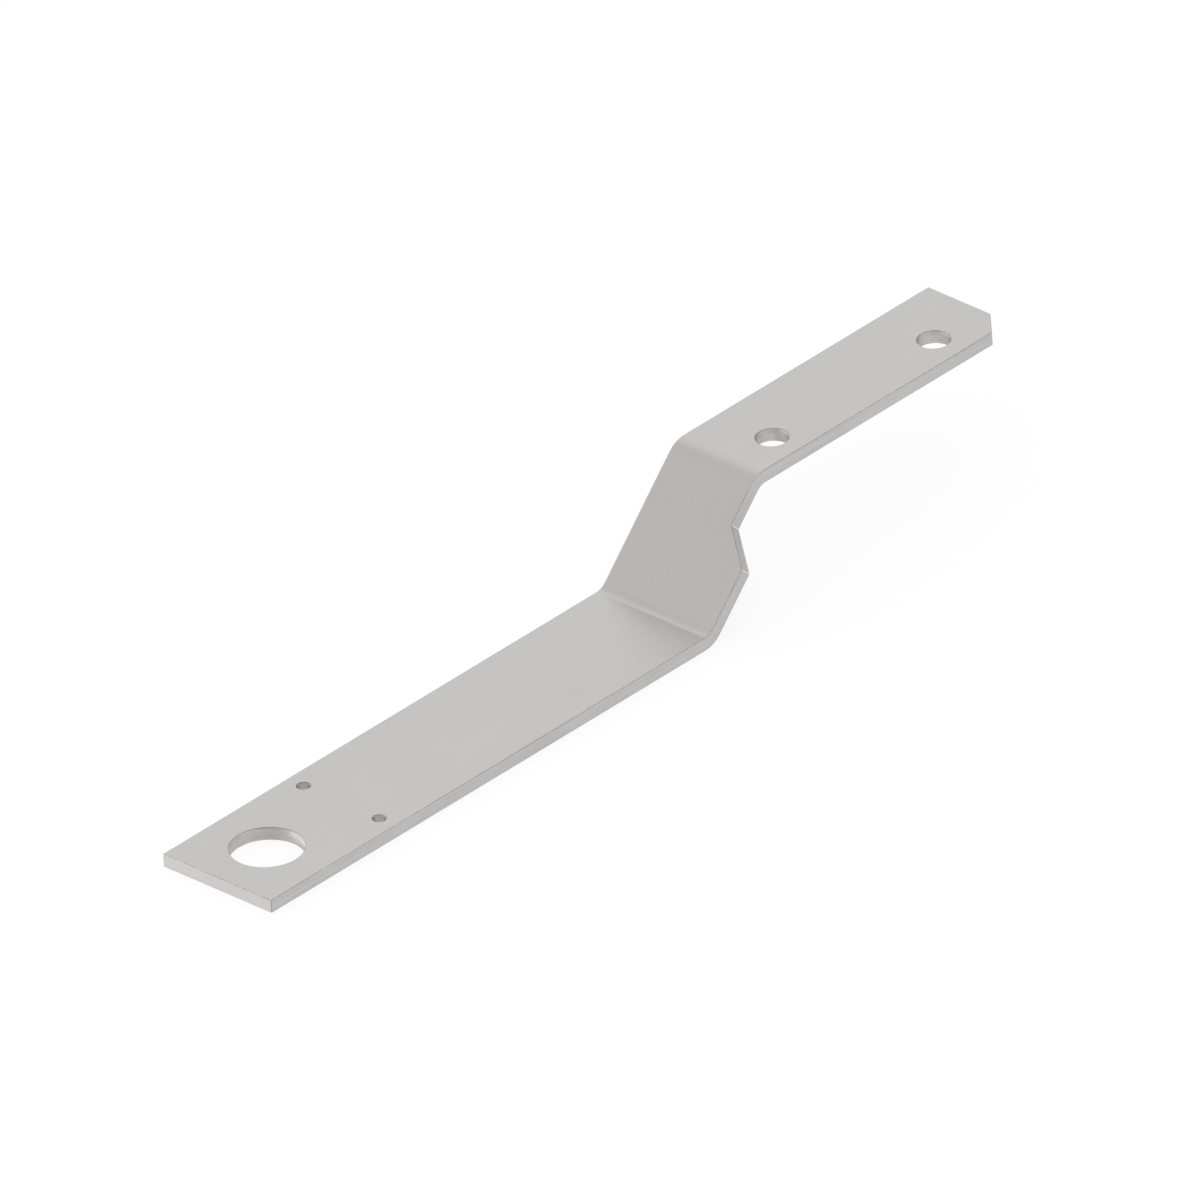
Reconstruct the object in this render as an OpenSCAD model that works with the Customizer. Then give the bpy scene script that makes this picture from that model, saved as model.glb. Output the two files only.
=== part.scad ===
// Fan adjustment bracket: one steel strip, cut to outline, drilled and folded twice.
// A wide arm carries the pivot, a ramp lifts the strip, and a narrow arm carries two bolt holes.
// The origin is the pivot's centre on the underside of the wide arm, and +X runs to the narrow end.

/* [Strip] */
// Thickness of the strip
strip_t = 4; // [2:0.5:6]
// Width of the wide arm, and of the ramp up to its step
wide_w = 40; // [37:1:50]
// Width of the narrow arm, and of the ramp past its step
narrow_w = 30; // [27:1:38]
// From the strip's straight edge to the line that the pivot and the bolt holes lie on
hole_line = 20; // [17:0.5:23]

/* [Folds] */
// Inside radius of both bends
bend_r = 5; // [2:0.5:10]
// Slope of the ramp between the two arms, in degrees
ramp_angle = 45; // [35:1:60]
// Height of the narrow arm above the wide arm
rise = 32; // [25:1:60]

/* [Wide arm] */
// Bore of the pivot
pivot_d = 21; // [6:0.5:34]
// From the pivot's centre to the wide end
pivot_end = 20; // [13:1:40]
// From the pivot's centre to the foot of the ramp, where the middle of the sheet would turn in a sharp corner
pivot_reach = 157; // [60:1:250]
// Bore of the two small holes
small_d = 4; // [2:0.1:8]
// From the pivot's centre to the pair of small holes, along the strip
small_reach = 30; // [18:1:120]
// Distance between the small holes, across the strip
small_pitch = 28; // [10:1:32]

/* [Step] */
// From the foot of the ramp's top face, up its slope, to where the step starts
step_start = 20; // [6:0.5:31]
// Angle between the step's slanted edge and the strip's long edge, in degrees
step_angle = 45; // [30:1:80]

/* [Narrow arm] */
// Bore of the bolt holes
bolt_d = 9.5; // [4:0.5:16]
// From the head of the ramp, again at the middle of the sheet, to the first bolt hole
bolt_start = 16.5; // [12:0.5:40]
// Distance between the bolt holes, along the strip
bolt_pitch = 65; // [20:1:120]
// From the second bolt hole to the narrow end
bolt_end = 19.5; // [10:0.5:40]
// How much the clipped corner takes off each of its two edges
corner_clip = 7; // [1:0.5:12]

/* [Hidden] */
$fn = 96;
// How far a cutter reaches past what it cuts
past = 1;
// How far a bend's arcs pass the faces beside them, so that they cross those faces and don't just touch
arc_lap = 0.0005;
// Light warm grey of bare steel
steel = [0.77, 0.765, 0.76];

outside_r = bend_r + strip_t;
half_turn = tan(ramp_angle / 2);
width_lost = wide_w - narrow_w;
// Sharp corners of the sheet's middle in the side view, measured along the strip from the foot of the ramp
foot = [0, strip_t / 2];
head = foot + [rise / tan(ramp_angle), rise];
// From such a corner to the one of the top face, and turned round, to the one of the underside
to_top = [-half_turn, 1] * strip_t / 2;
wide_end = -pivot_reach - pivot_end;
narrow_end = head.x + bolt_start + bolt_pitch + bolt_end;
strip_length = narrow_end - wide_end;

// A bend's field: from its centre down to one face, to the corner where two such faces meet, and round to the other
module bend_field(reach) {
    polygon([
        [0, 0],
        [0, -reach],
        [reach * half_turn, -reach],
        [reach * sin(ramp_angle), -reach * cos(ramp_angle)]
    ]);
}

// The part of a bend's field that lies outside an arc of this radius
module corner_past(radius, reach) {
    difference() {
        bend_field(reach);
        circle(r = radius + arc_lap);
    }
}

// Puts a shape that is drawn for the lower bend at both bends, turned over at the upper one
module at_bends() {
    translate(foot + to_top + [-half_turn, 1] * bend_r)
        children();
    translate(head - to_top - [-half_turn, 1] * bend_r)
        rotate(180)
            children();
}

// The strip with sharp corners in place of its bends
module mitred_view() {
    polygon([
        [wide_end, 0],
        foot - to_top,
        head - to_top,
        [narrow_end, rise],
        [narrow_end, rise + strip_t],
        head + to_top,
        foot + to_top,
        [wide_end, strip_t]
    ]);
}

// Each bend is filled on its inside and rounded off on its outside
module side_view() {
    difference() {
        union() {
            mitred_view();
            at_bends() corner_past(bend_r, bend_r + strip_t / 2);
        }
        at_bends() corner_past(outside_r, outside_r + past);
    }
}

module folded_strip() {
    translate([pivot_reach, hole_line, 0])
        rotate([90, 0, 0])
            linear_extrude(wide_w) side_view();
}

// Where the step's slanted edge is up the ramp, at this distance in from the wide arm's front edge
function step_at(inward) = step_start + inward / tan(step_angle);

// What the narrow width leaves out from the step on, cut square to the ramp as in the flat strip
module step_cut() {
    translate([pivot_reach + to_top.x, hole_line - wide_w, strip_t])
        rotate([0, -ramp_angle, 0])
            translate([0, 0, -strip_length])
                linear_extrude(strip_length + past)
                    polygon([
                        [step_at(-past), -past],
                        [strip_length, -past],
                        [strip_length, width_lost],
                        [step_at(width_lost), width_lost]
                    ]);
}

module clipped_corner() {
    translate([pivot_reach + narrow_end, hole_line - narrow_w, rise - past])
        linear_extrude(strip_t + 2 * past)
            polygon([
                [-corner_clip - past, -past],
                [past, -past],
                [past, corner_clip + past]
            ]);
}

// A hole through an arm whose underside is at this height
module bore(place, underside, diameter) {
    translate([place.x, place.y, underside - past])
        cylinder(h = strip_t + 2 * past, d = diameter);
}

module bracket() {
    first_bolt = pivot_reach + head.x + bolt_start;
    color(steel)
        difference() {
            folded_strip();
            step_cut();
            clipped_corner();
            bore([0, 0], 0, pivot_d);
            for (side = [-1, 1])
                bore([small_reach, side * small_pitch / 2], 0, small_d);
            for (along = [0, bolt_pitch])
                bore([first_bolt + along, 0], rise, bolt_d);
        }
}

bracket();
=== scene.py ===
# %% [markdown]
# This lesson dresses a fan adjustment bracket: one strip of steel, cut to outline, drilled, and folded
# twice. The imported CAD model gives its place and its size. Blender gives it what a CAD solid lacks: edges
# that are broken as a file leaves them, steel that looks rolled, linished and drilled, and a soft studio
# light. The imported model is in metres. Lengths in this lesson are in millimetres until the strip is folded.

from math import cos, pi, radians, sin, tan

import bmesh
import bpy
from mathutils import Matrix, Vector


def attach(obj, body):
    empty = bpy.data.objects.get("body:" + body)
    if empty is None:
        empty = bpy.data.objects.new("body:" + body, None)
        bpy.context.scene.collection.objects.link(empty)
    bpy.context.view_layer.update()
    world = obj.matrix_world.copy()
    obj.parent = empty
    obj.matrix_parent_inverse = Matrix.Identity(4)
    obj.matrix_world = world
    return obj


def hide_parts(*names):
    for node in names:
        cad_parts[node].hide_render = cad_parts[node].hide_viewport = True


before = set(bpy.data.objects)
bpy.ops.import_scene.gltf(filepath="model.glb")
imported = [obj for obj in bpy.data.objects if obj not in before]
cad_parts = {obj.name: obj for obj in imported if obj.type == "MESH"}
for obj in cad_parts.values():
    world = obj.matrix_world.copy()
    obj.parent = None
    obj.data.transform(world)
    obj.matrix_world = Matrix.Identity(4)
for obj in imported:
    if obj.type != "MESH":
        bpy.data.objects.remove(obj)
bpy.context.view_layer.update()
mm = 0.001

# %% [markdown]
# A folded part starts as a flat blank. If the blank is drawn first and folded afterwards, its holes, its
# step and the grain of its steel come out as they do in the workshop, so the mesh is made in that order
# too. Places on the blank are measured along the strip from the pivot's centre, and across it from the hole
# line.

# %% Sizes of the strip
strip_t = 4
wide_w = 40
narrow_w = 30
hole_line = 20
bend_r = 5
ramp_angle = radians(45)
rise = 32
pivot_d = 21
pivot_end = 20
pivot_reach = 157
small_d = 4
small_reach = 30
small_pitch = 28
step_start = 20
step_angle = radians(45)
step_width = wide_w - narrow_w
bolt_d = 9.5
bolt_start = 16.5
bolt_pitch = 65
bolt_end = 19.5
corner_clip = 7
print("strip", wide_w, "mm wide, then", narrow_w, "mm, and", strip_t, "mm thick")

# %% [markdown]
# Bending stretches the outside of the sheet and squeezes its inside. Half way through its thickness lies a
# line that keeps its length, and the blank is laid out on that line. Each bend takes an arc of it. The flat
# stretches between the bends are shorter than the sharp corners would make them, by each bend's tangent
# length.

# %% Stretches of the blank
half_turn = tan(ramp_angle / 2)
neutral_r = bend_r + strip_t / 2
bend_length = neutral_r * ramp_angle
bend_tangent = neutral_r * half_turn
slope_length = rise / sin(ramp_angle)

wide_arm = (pivot_end + pivot_reach - bend_tangent, 0)
lower_bend = (bend_length, ramp_angle)
ramp = (slope_length - 2 * bend_tangent, 0)
upper_bend = (bend_length, -ramp_angle)
narrow_arm = (bolt_start + bolt_pitch + bolt_end - bend_tangent, 0)
stretches = [wide_arm, lower_bend, ramp, upper_bend, narrow_arm]
blank_length = sum(length for length, turn in stretches)
print("blank", round(blank_length, 2), "mm long, each bend takes", round(bend_length, 2), "mm")

# %% [markdown]
# The outline is sheared, dressed on a belt, and its corners are touched with a file, so each corner is a
# small arc. Each point carries the way the edge faces there, and the finish of the wall that follows it. The
# finishes are numbers, which are the slots that the materials go into later. The two corners of the step get
# a painted highlight, so they are brighter than the edges beside them. The other corners get painted shade,
# so they are darker than the edges beside them. The step's place is measured up the ramp's top face, from the
# line where that face would meet the wide arm without a bend.

# %% Outline of the blank
front = hole_line - wide_w
narrow_front = hole_line - narrow_w
wide_end = -pivot_end
narrow_end = wide_end + blank_length
ramp_start = pivot_reach - bend_tangent + bend_length
step_outer = ramp_start + step_start - bend_r * half_turn
step_inner = step_outer + step_width / tan(step_angle)

ROLLED, LINISHED, DRILLED, PAINTED_EDGE_SHADE, PAINTED_RIM_SHADE, PAINTED_HIGHLIGHT = range(6)
corners = [
    (Vector((wide_end, front)), PAINTED_EDGE_SHADE),
    (Vector((step_outer, front)), PAINTED_HIGHLIGHT),
    (Vector((step_inner, narrow_front)), PAINTED_HIGHLIGHT),
    (Vector((narrow_end - corner_clip, narrow_front)), PAINTED_EDGE_SHADE),
    (Vector((narrow_end, narrow_front + corner_clip)), PAINTED_EDGE_SHADE),
    (Vector((narrow_end, hole_line)), PAINTED_EDGE_SHADE),
    (Vector((wide_end, hole_line)), PAINTED_EDGE_SHADE),
]
corner_radii = {PAINTED_EDGE_SHADE: 0.2, PAINTED_HIGHLIGHT: 0.3}
corner_steps = 4
print("the step runs from", round(step_outer, 2), "to", round(step_inner, 2), "mm on the blank")


def rounded_corner(before, corner, after, finish):
    """Points of a small arc at the corner, each with the way the edge faces and the finish after it."""
    corner_r = corner_radii[finish]
    way_in = (corner - before).normalized()
    way_out = (after - corner).normalized()
    # This angle is measured clockwise, so a corner that points outward turns by less than nothing.
    turn = way_in.angle_signed(way_out)
    reach = corner_r * tan(abs(turn) / 2)
    side = 1 if turn < 0 else -1
    outward = Vector((way_in.y, -way_in.x))
    centre = corner - way_in * reach - outward * corner_r * side
    arc = []
    for step in range(corner_steps + 1):
        swing = Matrix.Rotation(-turn * step / corner_steps, 2)
        facing = swing @ outward
        arc.append((centre + facing * corner_r * side, facing, finish if step < corner_steps else LINISHED))
    return arc


outline = []
for number, (corner, finish) in enumerate(corners):
    before = corners[number - 1][0]
    after = corners[(number + 1) % len(corners)][0]
    outline += rounded_corner(before, corner, after, finish)
print("outline of", len(outline), "points")

# %% [markdown]
# The rims of the holes are drawn as the outline is, but clockwise and facing the middle of the hole, so
# from here on one piece of code can treat an outline and a hole alike. The holes are drilled in the flat
# blank. The bolt holes lie past both bends, so on the blank they are further out than on the folded strip,
# by as much as the blank is longer than the strip.

# %% Rims of the holes
first_bolt = pivot_reach + rise / tan(ramp_angle) + bolt_start
blank_gain = blank_length - (pivot_end + first_bolt + bolt_pitch + bolt_end)
holes = [
    (0, 0, pivot_d),
    (small_reach, -small_pitch / 2, small_d),
    (small_reach, small_pitch / 2, small_d),
    (first_bolt + blank_gain, 0, bolt_d),
    (first_bolt + blank_gain + bolt_pitch, 0, bolt_d),
]
rim_steps = 96


def hole_rim(along, across, diameter):
    """Points round a hole, each facing the middle of the hole."""
    rim = []
    for step in range(rim_steps):
        angle = -2 * pi * step / rim_steps
        outward = Vector((cos(angle), sin(angle)))
        rim.append((Vector((along, across)) + outward * diameter / 2, -outward, DRILLED))
    return rim


rims = [hole_rim(*hole) for hole in holes]
print("rims of", len(rims), "holes")

# %% [markdown]
# The edge of a drilled or linished wall is never quite sharp. Breaking it leaves a tiny round along it. That
# round is painted darker than the walls, as painted shade, and draws the thin lines that the eye reads as an
# edge. A bevel modifier could cut it, but on a folded mesh it leaves uneven corners. So the round is part of
# the wall's own section, which every outline is swept with. A point of the section is given by how far in it
# lies, how high, and how far it leans from level.

# %% Section of a cut edge
outline_edge_r = 0.15
hole_edge_r = 0.09
edge_steps = 3


def edge_section(edge_r):
    """Points of a wall's section, from the underside up, with its edges broken to this radius."""
    lower = []
    for step in range(edge_steps + 1):
        lean = -pi / 2 * (1 - step / edge_steps)
        lower.append((edge_r * (1 - cos(lean)), edge_r * (1 + sin(lean)), lean))
    upper = [(inset, strip_t - height, -lean) for inset, height, lean in reversed(lower)]
    return lower + upper


print("section of", len(edge_section(outline_edge_r)), "points")

# %% [markdown]
# The walls are rows of points, one row for each point of the section. The middle band of each wall takes
# the finish that its outline carries, and the narrow bands above and below it are the broken edges.

# %% Walls of the blank
blank = bmesh.new()
facing_layer = blank.verts.layers.float_vector.new("facing")


def sweep_walls(points, edge_r, edge_finish):
    """Sweeps the section along a closed outline. Returns its rows on the underside and on the top face."""
    rows = []
    for inset, height, lean in edge_section(edge_r):
        row = []
        for place, facing, finish in points:
            inner = place - facing * inset
            vert = blank.verts.new((inner.x, inner.y, height))
            vert[facing_layer] = (facing.x * cos(lean), facing.y * cos(lean), sin(lean))
            row.append(vert)
        rows.append(row)
    for level, (low, high) in enumerate(zip(rows, rows[1:])):
        for number in range(len(points)):
            after = (number + 1) % len(points)
            face = blank.faces.new((low[number], low[after], high[after], high[number]))
            face.material_index = points[number][2] if level == edge_steps else edge_finish
    return rows[0], rows[-1]


def loop_edges(row):
    """Edges between neighbours in a closed row."""
    return [blank.edges.get((vert, row[number - 1])) for number, vert in enumerate(row)]


under_edges, top_edges = [], []
# The outline's broken edges take the painted edge shade, and the rims of the holes take the darker painted
# rim shade.
sweeps = [(outline, outline_edge_r, PAINTED_EDGE_SHADE)] + [(rim, hole_edge_r, PAINTED_RIM_SHADE) for rim in rims]
for sweep in sweeps:
    under_row, top_row = sweep_walls(*sweep)
    under_edges += loop_edges(under_row)
    top_edges += loop_edges(top_row)
print("walls of", len(blank.faces), "faces")

# %% [markdown]
# The two faces of the sheet are flat and have holes in them, so a fill that turns a ring of edges into
# triangles is enough. What comes out facing into the sheet is turned over.

# %% Faces of the sheet
for edges, up in ((under_edges, -1), (top_edges, 1)):
    filled = bmesh.ops.triangle_fill(blank, use_beauty=True, use_dissolve=False, edges=edges)
    for face in filled["geom"]:
        if isinstance(face, bmesh.types.BMFace):
            face.material_index = ROLLED
            if face.normal.z * up < 0:
                face.normal_flip()
print("walls and sheet have", len(blank.faces), "faces")

# %% [markdown]
# Before the folding, the blank is scored across where the bends come. A bend needs a row of points every
# few degrees, or it would fold like paper.

# %% Score lines of the bends
bend_steps = 12
reached = wide_end
score_lines = []
for length, turn in stretches:
    if turn:
        score_lines += [reached + length * step / bend_steps for step in range(bend_steps + 1)]
    reached += length
for along in score_lines:
    everything = blank.verts[:] + blank.edges[:] + blank.faces[:]
    bmesh.ops.bisect_plane(blank, geom=everything, plane_co=(along, 0, 0), plane_no=(1, 0, 0))
print("scored at", len(score_lines), "lines, now", len(blank.faces), "faces")

# %% [markdown]
# Folding moves every point by the same rule: walk along the neutral line as far as the point lies along the
# blank, then step off it at a right angle by the point's height in the sheet. What stood square to the flat
# sheet stands square to the folded one. The place on the flat blank is kept with each point, so that the
# grain of the steel can follow the fold.

# %% Fold the blank
def neutral_line(along):
    """x, z and slope of the neutral line at this place on the blank."""
    x, z, slope = wide_end, strip_t / 2, 0
    left = along - wide_end
    for length, turn in stretches:
        part = min(left, length)
        if turn:
            radius = length / turn
            swing = part / radius
            x += radius * (sin(slope + swing) - sin(slope))
            z += radius * (cos(slope) - cos(slope + swing))
            slope += swing
        else:
            x += part * cos(slope)
            z += part * sin(slope)
        left -= part
        if left <= 0:
            break
    return x, z, slope


blank_layer = blank.verts.layers.float_vector.new("blank")
up_layer = blank.verts.layers.float_vector.new("sheet_up")
for vert in blank.verts:
    along, across, depth = vert.co
    vert[blank_layer] = vert.co * mm
    x, z, slope = neutral_line(along)
    offset = depth - strip_t / 2
    vert.co = Vector((x - offset * sin(slope), across, z + offset * cos(slope))) * mm
    vert[facing_layer] = Matrix.Rotation(-slope, 3, "Y") @ vert[facing_layer]
    vert[up_layer] = (-sin(slope), 0, cos(slope))
print("folded, the narrow end is at x", round(neutral_line(narrow_end)[0], 2), "mm")

# %% [markdown]
# The shading needs to know which way each point faces. It was written down while the wall was swept, and it
# turned with the fold, so it is exact: flat faces stay flat right up to their rounded edges.

# %% Make the strip a piece of the bracket
strip_mesh = bpy.data.meshes.new("folded_strip")
blank.normal_update()
blank.to_mesh(strip_mesh)
facings = [tuple(vert[facing_layer]) for vert in blank.verts]
blank.free()
strip_mesh.shade_smooth()
strip_mesh.normals_split_custom_set_from_vertices(facings)
strip_mesh.attributes.remove(strip_mesh.attributes["facing"])

strip = bpy.data.objects.new("folded_strip", strip_mesh)
bpy.context.scene.collection.objects.link(strip)
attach(strip, "root")
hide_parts("bracket")
print(strip.name, "has", len(strip_mesh.polygons), "faces")

# %% [markdown]
# Colours are written as hex values, as a picture shows them, and a shader works with linear light. One
# function turns the first into the second, by the sRGB standard's own curve. Another adds a shader node
# with its settings and its links. A node's input is given by its name, or by its number after an underscore
# where the name is shared or changes.

# %% Helpers for materials
def linear(hex_colour):
    """Linear RGBA of an sRGB hex colour."""
    values = [int(hex_colour[place:place + 2], 16) / 255 for place in (1, 3, 5)]
    return [v / 12.92 if v <= 0.04045 else ((v + 0.055) / 1.055) ** 2.4 for v in values] + [1]


def add_node(tree, kind, settings=(), **inputs):
    """Adds a node. Settings are its own options, and each input is a value or another node's output."""
    node = tree.nodes.new(kind)
    for name, value in dict(settings).items():
        setattr(node, name, value)
    for name, value in inputs.items():
        socket = node.inputs[int(name[1:])] if name[1:].isdigit() else node.inputs[name.replace("_", " ")]
        if isinstance(value, bpy.types.NodeSocket):
            tree.links.new(value, socket)
        else:
            socket.default_value = value
    return node


for finish in (ROLLED, LINISHED, DRILLED, PAINTED_EDGE_SHADE, PAINTED_RIM_SHADE, PAINTED_HIGHLIGHT):
    strip_mesh.materials.append(None)
print("the strip has", len(strip_mesh.materials), "slots for its finishes")

# %% [markdown]
# The whole part is bare low-carbon steel, so its finishes differ only by what was done to the surface last.
# Each one has fine marks, and the marks follow the flat blank's own coordinates, which were kept when it
# was folded, so they run up the ramp without a seam. A noise that is stretched to the length and the width
# of the marks makes them. A second noise lays wide faint clouds over them, as oil and handling do. Together
# they move the colour between two close tones, move the roughness a little, and lift the surface by a few
# micrometres.

# %% A steel with marks
mark_detail = 3
cloud_size = 24
cloud_detail = 2
cloud_share = 0.3
noise_low, noise_high = 0.36, 0.64


def steel(finish, name, tones, roughness, mark_size, mark_depth, streaked=0):
    """Bare steel. Its marks are this many mm along, across and through the blank, and this many mm deep."""
    material = bpy.data.materials.new(name)
    material.use_nodes = True
    tree = material.node_tree
    tree.nodes.clear()
    place = add_node(tree, "ShaderNodeAttribute", {"attribute_name": "blank"}).outputs["Vector"]
    stretched = add_node(
        tree, "ShaderNodeVectorMath", {"operation": "DIVIDE"}, _0=place, _1=[size * mm for size in mark_size]
    )
    marks = add_node(tree, "ShaderNodeTexNoise", Vector=stretched.outputs[0], Scale=1, Detail=mark_detail)
    clouds = add_node(
        tree, "ShaderNodeTexNoise", Vector=place, Scale=1 / (cloud_size * mm), Detail=cloud_detail
    )
    both = add_node(tree, "ShaderNodeMix", _0=cloud_share, _2=marks.outputs[0], _3=clouds.outputs[0])
    tone = add_node(
        tree, "ShaderNodeMapRange", Value=both.outputs[0], From_Min=noise_low, From_Max=noise_high
    ).outputs[0]
    colour = add_node(
        tree, "ShaderNodeMix", {"data_type": "RGBA"}, _0=tone, _6=linear(tones[0]), _7=linear(tones[1])
    ).outputs[2]
    rough = add_node(tree, "ShaderNodeMapRange", Value=tone, To_Min=roughness[1], To_Max=roughness[0])
    relief = add_node(tree, "ShaderNodeBump", Strength=1, Distance=mark_depth * mm, Height=marks.outputs[0])
    shader = add_node(
        tree, "ShaderNodeBsdfPrincipled", Base_Color=colour, Metallic=1, Roughness=rough.outputs[0],
        Normal=relief.outputs[0], Anisotropic=streaked
    )
    if streaked:
        upright = add_node(tree, "ShaderNodeAttribute", {"attribute_name": "sheet_up"})
        tree.links.new(upright.outputs["Vector"], shader.inputs["Tangent"])
    add_node(tree, "ShaderNodeOutputMaterial", Surface=shader.outputs[0])
    strip_mesh.materials[finish] = material
    print(name, "from", tones[0], "to", tones[1], "with marks of", mark_size, "mm")


# %% [markdown]
# Cold-rolled steel comes off the rolls with fine lines along the strip. They scatter the light just enough
# for a satin sheen: it mirrors no shapes, but close to the lower bend it still shows a soft dark image of
# the ramp. Real lines are under a tenth of a millimetre wide, too fine to show here, so they are drawn 0.5
# mm wide.

# %% Rolled faces
steel(
    ROLLED, "cold_rolled_steel", tones=("#B4B1AE", "#B8B4B1"), roughness=(0.28, 0.3),
    mark_size=(20, 0.5, 1), mark_depth=0.001
)

# %% [markdown]
# A belt leaves its lines along the edge that it dresses. Light that falls across such lines spreads into a
# streak at a right angle to them, here from one face of the sheet to the other. The shader's anisotropy
# does this, along the direction that was kept as sheet_up. The walls then gather light from high and low,
# and come out pale and even, as in the photograph. The real lines are finer than the 0.3 mm drawn here.

# %% Linished edges
steel(
    LINISHED, "linished_steel", tones=("#BFBDBB", "#C9C7C5"), roughness=(0.37, 0.43),
    mark_size=(30, 30, 0.3), mark_depth=0.001, streaked=0.8
)

# %% [markdown]
# A drill's lips cut rings round the hole, coarser than a belt's lines. The walls are painted lighter than the
# rest of the steel, a painted lightening that makes up for the shade inside the holes. The streak is the same
# as on the linished edges, but longer: each place on the wall gathers its light from a whole upright band of
# the room, so a hole shows the room as stripes from rim to rim. Real rings are about 0.1 mm apart, and they
# are drawn 0.4 mm apart.

# %% Drilled holes
steel(
    DRILLED, "drilled_steel_painted_lighter", tones=("#D0CCC9", "#DDD9D6"), roughness=(0.46, 0.52),
    mark_size=(6, 6, 0.4), mark_depth=0.002, streaked=0.95
)

# %% [markdown]
# The broken edges and the outer corners are painted darker than the faces beside them, and smoother. This is
# painted shade, which draws the thin dark lines along the edges. The shade is uneven, in patches about a
# millimetre long.

# %% Edges with painted shade
steel(
    PAINTED_EDGE_SHADE, "steel_with_painted_edge_shade", tones=("#8E8A87", "#AEAAA7"), roughness=(0.12, 0.22),
    mark_size=(1.2, 1.2, 1.2), mark_depth=0.003
)

# %% [markdown]
# The broken rim of a drilled hole is painted darker still, as painted shade round each hole, and is the
# darkest line on the part. It is duller than the edges with painted shade.

# %% Hole rims with painted shade
steel(
    PAINTED_RIM_SHADE, "steel_with_painted_rim_shade", tones=("#6A6663", "#7E7A77"), roughness=(0.32, 0.44),
    mark_size=(1.2, 1.2, 1.2), mark_depth=0.003
)

# %% [markdown]
# The two corners of the step are painted at the steel's brightest, as a painted highlight.

# %% Step corners with painted highlight
steel(
    PAINTED_HIGHLIGHT, "steel_with_painted_highlight", tones=("#E8E6E4", "#F6F4F2"), roughness=(0.3, 0.38),
    mark_size=(1, 1, 0.3), mark_depth=0.002
)

# %% [markdown]
# The floor is a wide sheet of white paper. Seen straight on, or in the steel, most of its white comes from
# itself, so that it matches a white background. Light that it passes on to the bracket is scattered by
# plain matt paper, and so is the rest of its white, which is where the bracket's soft shadow shows.

# %% Floor
floor_half = 3
floor_corners = [(x * floor_half, y * floor_half, 0) for x, y in [(-1, -1), (1, -1), (1, 1), (-1, 1)]]
floor_mesh = bpy.data.meshes.new("studio_floor")
floor_mesh.from_pydata(floor_corners, [], [(0, 1, 2, 3)])
studio_floor = bpy.data.objects.new("studio_floor", floor_mesh)
bpy.context.scene.collection.objects.link(studio_floor)
own_white = 0.85

floor_paper = bpy.data.materials.new("floor_paper")
floor_paper.use_nodes = True
tree = floor_paper.node_tree
tree.nodes.clear()
ray = add_node(tree, "ShaderNodeLightPath").outputs
larger = {"operation": "MAXIMUM"}
seen = add_node(tree, "ShaderNodeMath", larger, _0=ray["Is Camera Ray"], _1=ray["Is Glossy Ray"]).outputs[0]
seen = add_node(tree, "ShaderNodeMath", larger, _0=seen, _1=ray["Is Transmission Ray"]).outputs[0]
share = add_node(tree, "ShaderNodeMath", {"operation": "MULTIPLY"}, _0=seen, _1=own_white)
matt = add_node(tree, "ShaderNodeBsdfDiffuse", Color=linear("#FFFFFF"))
white = add_node(tree, "ShaderNodeEmission", Color=linear("#FFFFFF"), Strength=1)
mixed = add_node(tree, "ShaderNodeMixShader", _0=share.outputs[0], _1=matt.outputs[0], _2=white.outputs[0])
add_node(tree, "ShaderNodeOutputMaterial", Surface=mixed.outputs[0])
floor_mesh.materials.append(floor_paper)
print("floor", 2 * floor_half, "m square")

# %% [markdown]
# Round the floor is a plain white world at strength 1. It lights the bracket evenly, so that a colour
# renders about as it is written, and it is also what most of the steel mirrors.

# %% World
world = bpy.data.worlds.new("white_studio")
world.use_nodes = True
tree = world.node_tree
tree.nodes.clear()
sky = add_node(tree, "ShaderNodeBackground", Color=linear("#FFFFFF"), Strength=1)
add_node(tree, "ShaderNodeOutputWorld", Surface=sky.outputs[0])
bpy.context.scene.world = world
bpy.context.scene.view_settings.view_transform = "Standard"
print("world", world.name)

# %% [markdown]
# Seen as in the photograph, the two arms mirror the room behind them, and the ramp mirrors it more to the
# left. A weak, wide, cool lamp stands where the arms mirror it, so they come out a little lighter and less
# warm than the ramp.

# %% Lamp behind the bracket
def away_from(azimuth, elevation):
    """The direction of a place seen from the bracket, from its angles in degrees."""
    turn, lift = radians(azimuth), radians(elevation)
    return Vector((cos(turn) * cos(lift), sin(turn) * cos(lift), sin(lift)))


bracket_middle = Vector((0.135, 0, 0))


def place_lamp(lamp, direction, distance):
    """Puts a lamp this many metres from the bracket, facing it."""
    holder = bpy.data.objects.new(lamp.name, lamp)
    where = Matrix.Translation(bracket_middle + direction * distance)
    holder.matrix_world = where @ direction.to_track_quat("Z", "Y").to_matrix().to_4x4()
    bpy.context.scene.collection.objects.link(holder)
    print(lamp.name, "at", [round(value, 2) for value in where.translation])


back_light = bpy.data.lights.new("back_light", "SUN")
back_light.energy = 0.187
back_light.angle = radians(60)
back_light.color = linear("#E0F0FF")[:3]
place_lamp(back_light, away_from(azimuth=44.7, elevation=30.9), distance=1)

# %% [markdown]
# The end of the wide arm and the right-hand walls of the holes are the lightest steel in the photograph.
# Both mirror what is low on the left, so a long low softbox stands there.

# %% Low softbox on the left
low_softbox = bpy.data.lights.new("low_softbox", "AREA")
low_softbox.shape = "RECTANGLE"
low_softbox.size = 1.4
low_softbox.size_y = 0.16
low_softbox.energy = 3
low_softbox.color = linear("#FFFAF6")[:3]
place_lamp(low_softbox, away_from(azimuth=117, elevation=9), distance=0.8)

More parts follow.
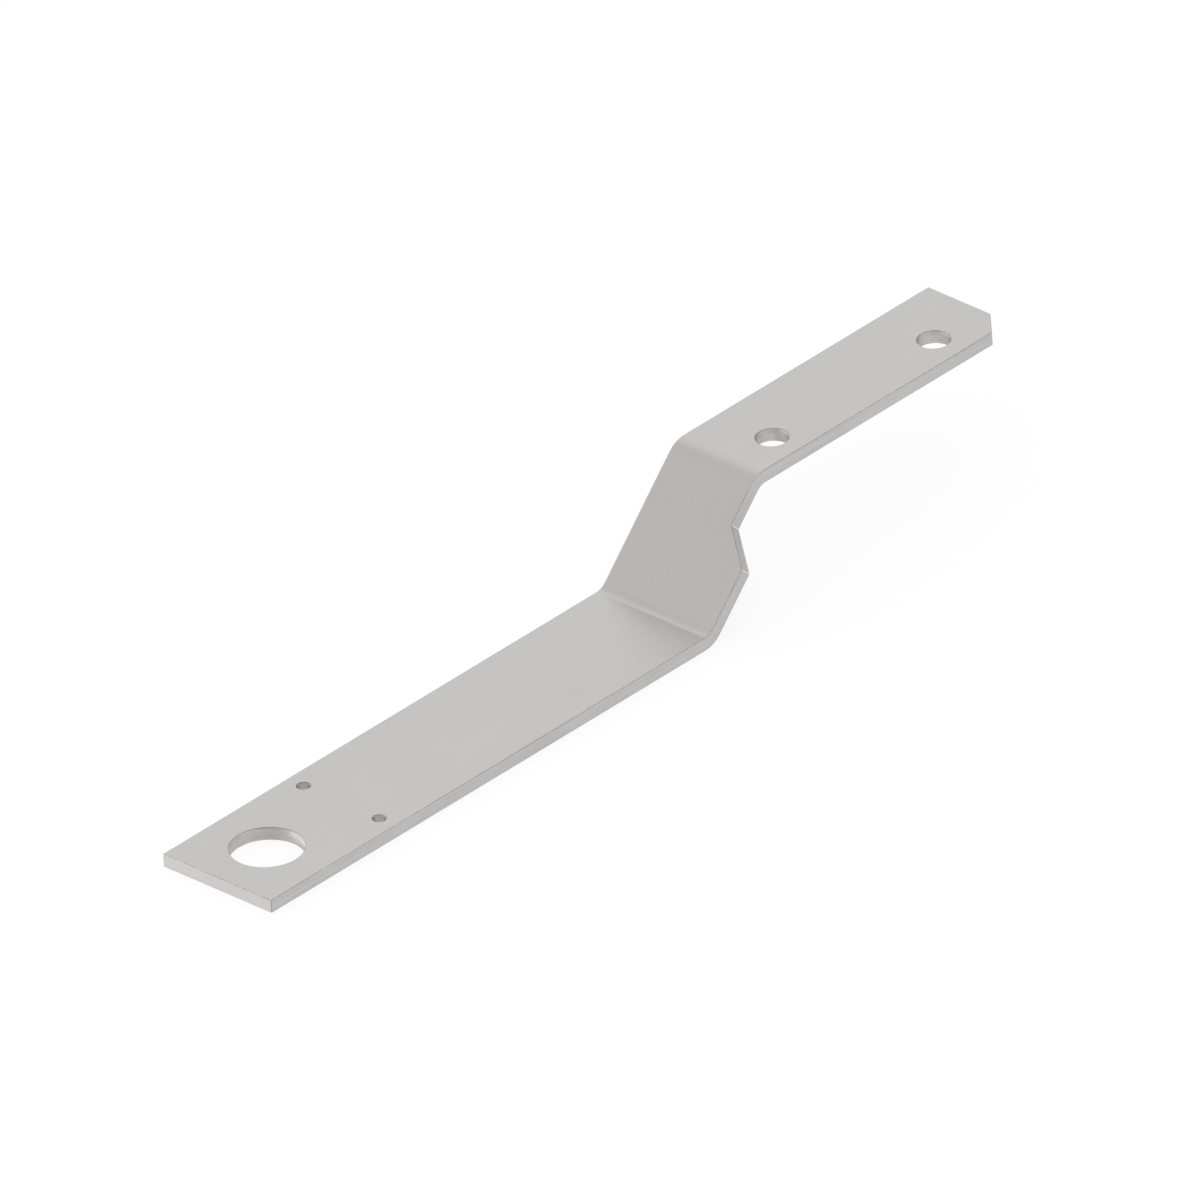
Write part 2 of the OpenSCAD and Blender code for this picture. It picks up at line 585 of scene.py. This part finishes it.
# %% [markdown]
# Steel in a white room looks flat, so a photographer stands cards round it, outside the picture. The near
# card is a middle grey. It darkens the far walls of the holes a little, and the line along the ramp's front
# edge. It is low and no darker than that, because the wide faces of the strip mirror it when they are seen
# from behind. The side card is paler, and darkens the slanted face of the step. Only reflections see the
# cards, so they throw no shadow on the white floor.

# %% Cards round the bracket
def stand_card(name, left, right, height, grey):
    """A standing card between two places on the floor, in metres."""
    card_mesh = bpy.data.meshes.new(name)
    card_mesh.from_pydata([(*left, 0), (*right, 0), (*right, height), (*left, height)], [], [(0, 1, 2, 3)])
    card = bpy.data.objects.new(name, card_mesh)
    bpy.context.scene.collection.objects.link(card)
    card.visible_camera = False
    card.visible_diffuse = False
    card.visible_shadow = False
    paint = bpy.data.materials.new(name)
    paint.use_nodes = True
    tree = paint.node_tree
    tree.nodes.clear()
    dull = add_node(tree, "ShaderNodeBsdfDiffuse", Color=linear(grey))
    add_node(tree, "ShaderNodeOutputMaterial", Surface=dull.outputs[0])
    card_mesh.materials.append(paint)
    print(name, "from", left, "to", right, "m")


stand_card("near_card", left=(-0.62, -0.04), right=(-0.03, -0.56), height=0.22, grey="#808080")
stand_card("side_card", left=(0.85, -0.26), right=(0.9, 0.02), height=0.5, grey="#BCBCBC")

# %% [markdown]
# The photograph is a parallel view: edges that are parallel on the part are parallel in it. So the camera
# is orthographic. Its three angles, the width of its view and the middle of the picture were fitted to the
# corners and the holes that the photograph shows. The camera is turned into place first, and moved sideways
# after.

# %% Camera
camera_turn, camera_lift, camera_roll = radians(45.628), radians(30.916), radians(3.434)
view_width = 0.32601
view_centre = (0.090336, 0.070553)
camera_distance = 1
camera_data = bpy.data.cameras.new("photo_view")
camera_data.type = "ORTHO"
camera_data.ortho_scale = view_width
camera = bpy.data.objects.new("photo_view", camera_data)
turned = (
    Matrix.Rotation(-camera_turn, 4, "Z")
    @ Matrix.Rotation(pi / 2 - camera_lift, 4, "X")
    @ Matrix.Rotation(-camera_roll, 4, "Z")
)
camera.matrix_world = turned @ Matrix.Translation((*view_centre, camera_distance))
bpy.context.scene.collection.objects.link(camera)
bpy.context.scene.camera = camera
print("camera sees", view_width, "m across")
